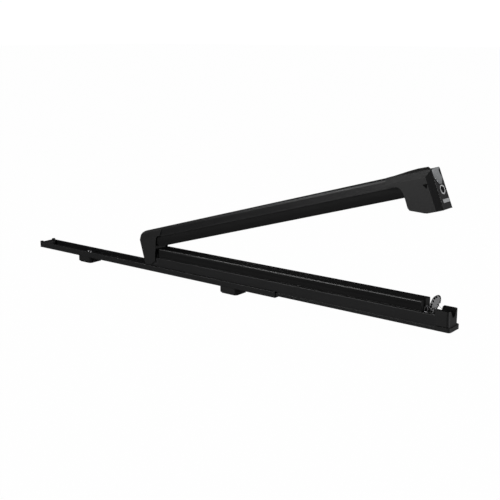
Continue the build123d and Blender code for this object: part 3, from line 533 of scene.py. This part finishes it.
bail_low, bail_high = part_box("catch_bail")
x0, x1 = bail_low.x / MM + WIRE_R, bail_high.x / MM - WIRE_R
z0, z1 = bail_low.z / MM + WIRE_R, bail_high.z / MM - WIRE_R
bails = []
for label, side in (("bail_near", -1), ("bail_far", 1)):
    y = side * (bail_high.y / MM - WIRE_R)
    corners = [(x0, y, z0), (x1, y, z0), (x1, y, z1), (x0 + BAIL_LEAN, y, z1)]
    bails.append(wire(label, corners, WIRE_R, BAIL_BEND, zinc, closed=True))
for piece in bails:
    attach(piece, "carriage")
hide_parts("catch_bail")
spring_bends = [(0, -5.6, 1.5), (5.0, -7.4, 7.0), (13.0, -8.0, 11.5), (19.2, -8.2, 7.4),
                (23.9, -8.4, -0.1)]
spring_path = [(CATCH_X + x, y, CATCH_Z + z) for x, y, z in spring_bends]
spring_leg = wire("catch_spring_leg", spring_path, SPRING_R, SPRING_BEND, zinc)
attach(spring_leg, "carriage")


# ==== 10. Catch
# Hook of two stamped silver plates riveted over a black core, pierced by a ladder of windows.
# It pivots between the ears and holds the arm's tooth when shut.
LUG_HALF = 1.85
LUG_CHAMFER = 0.25
LUG_DEPTHS = ((2.2, LUG_HALF), (2.95, LUG_HALF), (3.1, LUG_HALF - LUG_CHAMFER))
SQUARE = ((-1, -1), (1, -1), (1, 1), (-1, 1))
stamped = finish_material(
    "steel_stamped", (0.50, 0.50, 0.51), (0.7, 0.7, 0.7), 0.38, metal=0.75, edge_radius=0.3,
    dust=0.04,
    heights=[(GRAIN, 0.006, {"Size": 0.0003}), (DRAW, 0.004, {"Pitch": 0.0004, "Stretch": 0.3})])
paint_cad("catch_plates", stamped)
# This black also fills the screw recesses, where it is painted shade.
core_and_shade_black = finish_material(
    "black_plastic_core_and_shade", (0.003, 0.003, 0.003), (0.01, 0.01, 0.01), 0.7, specular=0.12,
    heights=[(GRAIN, 0.01, {"Size": 0.0004})])
paint_cad("catch_core", core_and_shade_black)


def add_prism(points, faces, rings):
    """Adds a closed solid skinned over rings of the same number of points."""
    base, count = len(points), len(rings[0])
    for ring in rings:
        points.extend(ring)
    for row in range(len(rings) - 1):
        start = base + row * count
        for k in range(count):
            m = (k + 1) % count
            faces.append((start + k, start + m, start + count + m, start + count + k))
    last = base + (len(rings) - 1) * count
    faces.append(tuple(range(base, base + count)))
    faces.append(tuple(range(last, last + count)))


# Blocks of the core that show in the plates' windows: offset from the pivot, and turn.
lug_places = [(4.3, 25.5, 35), (0.8, 22.0, 40), (-2.0, 16.1, 68), (-4.3, 9.6, 72), (-5.3, 4.9, 80)]
lug_points, lug_faces = [], []
for x, z, lean in lug_places:
    along, across = math.cos(math.radians(lean)), math.sin(math.radians(lean))
    for side in (-1, 1):
        rings = []
        for depth, half in LUG_DEPTHS:
            ring = []
            for i, j in SQUARE:
                dx, dz = half * (i * along + j * across), half * (j * along - i * across)
                ring.append(Vector((CATCH_X + x + dx, side * depth, CATCH_Z + z + dz)) * MM)
            rings.append(ring)
        add_prism(lug_points, lug_faces, rings)
lugs = mesh_piece("catch_core_lugs", lug_points, lug_faces, core_and_shade_black)
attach(lugs, "catch")


# ==== 11. Arm profile
# Black anodised aluminium extrusion with a crowned top and bevelled shoulders.
# It is screwed to the bracket inside the elbow and carries the lock housing at its end.
ARM_TILT = math.radians(16.29)
# A darker copy of the rail's anodised finish, with its draw lines along the arm's tilt: the darker
# colour is painted shade on the arm's top.
arm_anodised_shaded = finish_material(
    "black_anodised_arm_shaded", (0.0095, 0.0097, 0.0103), (0.10, 0.10, 0.105), 0.38, specular=0.42,
    edge_radius=0.45, wear_highlight_amount=0.5, dust=0.05,
    heights=[(DRAW, 0.02, {"Pitch": 0.0006, "Stretch": 0.004, "Tilt": ARM_TILT}),
             (GRAIN, 0.004, {"Size": 0.0003})])
paint_cad("arm_profile", arm_anodised_shaded)


# ==== 12. Arm rubber
# The second cushion, under the arm, that presses the skis on to the bed.
# Its lower corners are rounded and its heel is cut to a curve near the hinge.
ARM_ORIGIN = Vector((-219.6402, 0, 69.3876)) * MM
ARM_TURN = Matrix.Rotation(-ARM_TILT, 4, "Y")
ARM_PLACE = Matrix.Translation(ARM_ORIGIN) @ ARM_TURN
PAD_HALF = 17.8
PAD_H = 22.0
PAD_CORNER = 3.0
PAD_KEY_SET = 0.5
PAD_KEY_H = 1.4
PAD_START = 12.0
PAD_HEEL = 12.0
PAD_END = 662.0
HEEL_STEPS = 8
PAD_STEPS = 40


def on_arm(u, y, v):
    """Millimetres along, across and up from the arm's underside, placed in the frame."""
    return ARM_PLACE @ (Vector((u, y, v)) * MM)


def arm_ring(u, heel):
    """Section of the arm's cushion at u, its underside lifted to heel."""
    right = [(PAD_HALF - PAD_KEY_SET, PAD_H), (PAD_HALF - PAD_KEY_SET, PAD_H - PAD_KEY_H)]
    right += [(PAD_HALF, PAD_H - 2.0), (PAD_HALF, heel + (PAD_H - heel) * 0.5)]
    right += arc(PAD_HALF - PAD_CORNER, heel + PAD_CORNER, PAD_CORNER, 0, -90, 6)
    ribbed = ribs(PAD_HALF - PAD_CORNER - RIB_MARGIN, heel, RIB_COUNT, RIB_DEPTH, RIB_WIDTH)
    low = [(y, 2 * heel - v) for y, v in ribbed]
    left = [(-y, v) for y, v in reversed(right)]
    return [on_arm(u, y, v) for y, v in right + low + left]


arm_rings = []
flat_start = PAD_START + PAD_HEEL
for i in range(HEEL_STEPS + 1):
    u = PAD_START + PAD_HEEL * (i / HEEL_STEPS) ** 1.6
    drop = math.sqrt(max(0.0, PAD_HEEL ** 2 - (flat_start - u) ** 2))
    arm_rings.append(arm_ring(u, PAD_HEEL - drop))
for i in range(1, PAD_STEPS + 1):
    arm_rings.append(arm_ring(flat_start + (PAD_END - flat_start) * i / PAD_STEPS, 0.0))
arm_pad = loft("arm_pad", arm_rings, rubber, 40)
skin_corners(arm_pad, ARM_TURN.to_3x3(), -0.97, -0.15)
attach(arm_pad, "arm")
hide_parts("arm_rubber")


# ==== 13. Elbow
# Two moulded covers meet over a coated casting that joins the arm to the hinge pin.
# The casting goes down between the profile's walls and its pin turns in the bushes.
paint_cad("elbow_cover_near", plastic)
paint_cad("elbow_cover_far", plastic)
# The casting's near-black colour is its black coating and, beyond that, painted shade for the
# shadow under the arm by the hinge.
casting_and_shade = finish_material(
    "cast", (0.005, 0.005, 0.0053), (0.03, 0.03, 0.03), 0.55, metal=0.2, specular=0.3,
    edge_radius=0.6, heights=[(GRAIN, 0.05, {"Size": 0.0008})])
paint_cad("elbow_bracket", casting_and_shade)
paint_cad("bracket_screws", zinc)
paint_cad("hinge_pin", oxide)


# ==== 14. Lock housing
# Two moulded halves clamp round the arm's end and hang down over the catch when shut.
# A front plate closes them, and a black screw in a three-cornered recess each side holds them.
SCREW_U, SCREW_V = 708.5, 13.4
RECESS_TIPS = ((-5.2, 3.4), (5.2, 3.4), (0.8, -5.4))
RECESS_MIDDLE = (0.27, 0.47)
RECESS_DEPTHS = ((20.5, 0.93), (21.15, 0.93), (21.3, 0.8))
housing_plastic = finish_material(
    "black_plastic_housing", (0.0085, 0.0085, 0.009), (0.02, 0.02, 0.021), 0.46, specular=0.5,
    edge_radius=0.3, wear_highlight_amount=0.15, dust=0.05,
    heights=[(GRAIN, 0.010, {"Size": 0.00035})])
paint_cad("lock_housing_near", housing_plastic)
paint_cad("lock_housing_far", housing_plastic)
paint_cad("lock_front_plate", housing_plastic)
# A dark plate sunk in each three-cornered recess is painted shade: it stands for the shadow in the
# recess over the screw.
shade_plate_points, shade_plate_faces = [], []
for side in (-1, 1):
    rings = []
    for depth, keep in RECESS_DEPTHS:
        ring = []
        for u, v in RECESS_TIPS:
            du = RECESS_MIDDLE[0] + (u - RECESS_MIDDLE[0]) * keep
            dv = RECESS_MIDDLE[1] + (v - RECESS_MIDDLE[1]) * keep
            ring.append(on_arm(SCREW_U + du, side * depth, SCREW_V + dv))
        rings.append(ring)
    add_prism(shade_plate_points, shade_plate_faces, rings)
recess_shade_plates = mesh_piece("screw_recess_painted_shade", shade_plate_points, shade_plate_faces, core_and_shade_black)
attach(recess_shade_plates, "arm")
paint_cad("housing_screws", oxide)


# ==== 15. Blank badge
# Small plain plate of grey plastic, stuck to the front of the lock housing below the lock.
badge = finish_material(
    "badge_plastic", (0.35, 0.355, 0.36), (0.5, 0.5, 0.5), 0.3, edge_radius=0.2,
    heights=[(GRAIN, 0.003, {"Size": 0.0003})])
paint_cad("blank_badge", badge)


# ==== 16. Lock
# Chromed ring on the front plate round a turned steel barrel, with the key plug inside.
# A small cam on the plug's rear end blocks the button.
chrome = finish_material(
    "chrome", (0.80, 0.81, 0.82), (0.9, 0.9, 0.9), 0.2, metal=0.4, edge_radius=0.3, dust=0.02,
    heights=[(GRAIN, 0.001, {"Size": 0.0006})])
turned = finish_material(
    "lock_steel", (0.008, 0.008, 0.0085), (0.08, 0.08, 0.08), 0.34, metal=0.5, edge_radius=0.2,
    heights=[(DRAW, 0.006, {"Pitch": 0.0003, "Stretch": 1.0})])
paint_cad("lock_ring", chrome)
paint_cad("lock_barrel", turned)
paint_cad("lock_plug", turned)
paint_cad("lock_cam", zinc)


# ==== 17. Push button
# Silver lacquered thumb button set in the top front corner of the housing.
# It is dished for the thumb and slides towards the hinge against a spring.
BUTTON_HALF = 13.9
BUTTON_REAR = 709.7
BUTTON_CREST = 40.9
BUTTON_UNDER = 36.6
BUTTON_TIP = 11.6
BUTTON_TIP_HALF = 4.6
BUTTON_RISE = 12.4
BUTTON_SLANT = 9.0
THUMB_DISH = 1.1
FACE_HOLLOW = 2.9
CORNER_SHRINK = 0.7
BUTTON_STRIPS = 24
FACE_STEPS = 8
STEM_R = 2.5
STEM_V = 27.0
STEM_ENDS = (706.4, 722.5)
STEM_SIDES = 16
silver = finish_material(
    "silver_plastic", (0.40, 0.41, 0.42), (0.6, 0.6, 0.6), 0.32, metal=0.55, edge_radius=0.6,
    dust=0.06, heights=[(GRAIN, 0.003, {"Size": 0.0003})])


def front_u(v):
    """Where the housing's front face is at height v."""
    return 723.5 + (38.0 - v) * 0.1096


def button_ring(y):
    """Section of the button at y across it: dished top, hollow face, open back."""
    edge = min(1.0, abs(y) / BUTTON_HALF)
    shrink = CORNER_SHRINK * max(0.0, (edge - 0.86) / 0.14) ** 2
    dish = THUMB_DISH * (1 - edge * edge)
    lip = front_u(41)
    slant = min(1.0, max(0.0, (abs(y) - BUTTON_TIP_HALF) / BUTTON_SLANT))
    low = BUTTON_TIP + BUTTON_RISE * slant
    ring = [(BUTTON_REAR + shrink, 41.3 - shrink), (713.5, BUTTON_CREST - shrink - dish * 0.6)]
    ring += [(718.5, 40.5 - shrink - dish), (723.5, BUTTON_CREST - shrink - dish)]
    ring += [(lip + 0.6, 41.3 - shrink - dish * 0.4), (lip + 1.4 - shrink, 41.4 - shrink)]
    ring.append((lip + 1.8 - shrink, BUTTON_CREST - shrink))
    for k in range(1, FACE_STEPS + 1):
        down = k / FACE_STEPS
        v = BUTTON_CREST + (low - BUTTON_CREST) * down
        hollow = math.sin(math.pi * down ** 0.75)
        proud = 1.8 - 0.6 * down - (FACE_HOLLOW + dish * 0.4) * hollow
        ring.append((front_u(v) + proud - shrink, v))
    ring += [(front_u(low) - 1.2, low), (front_u(34) - 3.6, max(low + 3, 31.0))]
    ring += [(719.0, BUTTON_UNDER), (BUTTON_REAR, BUTTON_UNDER)]
    return [on_arm(u, y, v) for u, v in ring]


strips = [BUTTON_HALF * (2 * i / BUTTON_STRIPS - 1) for i in range(BUTTON_STRIPS + 1)]
button = loft("thumb_button", [button_ring(y) for y in strips], silver, 50)
soft_edge = button.modifiers.new("edges", "BEVEL")
soft_edge.width, soft_edge.segments = 0.3 * MM, 2
soft_edge.limit_method, soft_edge.angle_limit = "ANGLE", math.radians(50)
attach(button, "button")
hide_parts("push_button")
stem_rings = []
for u in STEM_ENDS:
    ring = []
    for k in range(STEM_SIDES):
        t = 2 * math.pi * k / STEM_SIDES
        ring.append(on_arm(u, STEM_R * math.cos(t), STEM_V + STEM_R * math.sin(t)))
    stem_rings.append(ring)
stem = loft("button_stem", stem_rings, silver)
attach(stem, "button")


# ==== 18. Pawl and its pin
# Steel lever across the housing, turning on a pin between the two halves.
# The button's stem pushes its top end and its tooth draws back at the bottom.
paint_cad("latch_pawl", zinc)
paint_cad("pawl_pin", zinc)


# ==== 19. Floor, light and camera
# White studio floor and backdrop, with a large key from the front left.
# A side light stands past the latch end, and a thin strip above draws the long edges.
FLOOR_HALF = 30.0
FLOOR_DROP = -0.0005
WHITE = 1.02
AMBIENT = 0.04
FLOOR_TONES = (0.30, 0.32)
FLOOR_SEEN_WHITE = 0.97


def glow(name, place, aim, size, power, tall=None):
    """Rectangular area light looking at a point."""
    data = bpy.data.lights.new(name, "AREA")
    data.shape = "RECTANGLE"
    data.size, data.size_y = size, tall or size
    data.energy = power
    lamp = bpy.data.objects.new(name, data)
    bpy.context.scene.collection.objects.link(lamp)
    lamp.location = place
    lamp.rotation_euler = (Vector(aim) - Vector(place)).to_track_quat("-Z", "Y").to_euler()


def make_floor():
    """Pale matt floor that the camera sees as white."""
    made = bpy.data.materials.new("floor_white")
    made.use_nodes = True
    tree = made.node_tree
    shader = tree.nodes["Principled BSDF"]
    cloud = add(tree, "ShaderNodeTexNoise")
    cloud.inputs["Scale"].default_value = 3.0
    tone = ramp(tree, cloud.outputs["Fac"], 0.3, 0.7, *FLOOR_TONES)
    shade = add(tree, "ShaderNodeCombineColor")
    for index in range(3):
        tree.links.new(tone, shade.inputs[index])
    tree.links.new(shade.outputs[0], shader.inputs["Base Color"])
    shader.inputs["Roughness"].default_value = 0.9
    seen = add(tree, "ShaderNodeLightPath")
    white = add(tree, "ShaderNodeEmission")
    white.inputs["Color"].default_value = (1.0, 1.0, 1.0, 1.0)
    white.inputs["Strength"].default_value = WHITE
    mixed = add(tree, "ShaderNodeMixShader")
    share = math_node(tree, "MULTIPLY", seen.outputs["Is Camera Ray"], FLOOR_SEEN_WHITE)
    tree.links.new(share, mixed.inputs[0])
    tree.links.new(shader.outputs[0], mixed.inputs[1])
    tree.links.new(white.outputs[0], mixed.inputs[2])
    tree.links.new(mixed.outputs[0], tree.nodes["Material Output"].inputs["Surface"])
    return made


corners = [(x * FLOOR_HALF, y * FLOOR_HALF, FLOOR_DROP) for x, y in SQUARE]
floor = mesh_piece("studio_floor", corners, [(0, 1, 2, 3)], make_floor())

world = bpy.data.worlds.new("studio")
bpy.context.scene.world = world
world.use_nodes = True
sky = world.node_tree
backdrop = sky.nodes["Background"]
backdrop.inputs["Color"].default_value = (1.0, 1.0, 1.0, 1.0)
camera_ray = add(sky, "ShaderNodeLightPath")
strength = ramp(sky, camera_ray.outputs["Is Camera Ray"], 0.0, 1.0, AMBIENT, WHITE)
sky.links.new(strength, backdrop.inputs["Strength"])

glow("key_left", (-0.9, -2.6, 0.75), (0.0, 0, 0.1), 1.5, 24)
glow("side_right", (3.2, 0.6, 0.7), (0.3, 0, 0.1), 1.2, 70)
glow("edge_strip", (-1.5, -0.55, 1.9), (0, 0, 0.1), 2.4, 12, tall=0.2)

CAMERA_AT = (1.203404, -1.467708, 0.547663)
CAMERA_RIGHT = (0.784983, 0.619517, -0.000629)
CAMERA_UP = (-0.143702, 0.183070, 0.972541)
CAMERA_BACK = (0.602621, -0.763338, 0.232732)
scene = bpy.context.scene
scene.view_settings.view_transform = "Standard"
lens = bpy.data.cameras.new("camera")
lens.sensor_width, lens.lens = 36.0, 65.87
lens.clip_start, lens.clip_end = 0.05, 100.0
camera = bpy.data.objects.new("camera", lens)
scene.collection.objects.link(camera)
turn = Matrix((CAMERA_RIGHT, CAMERA_UP, CAMERA_BACK)).transposed().to_4x4()
camera.matrix_world = Matrix.Translation(CAMERA_AT) @ turn
scene.camera = camera
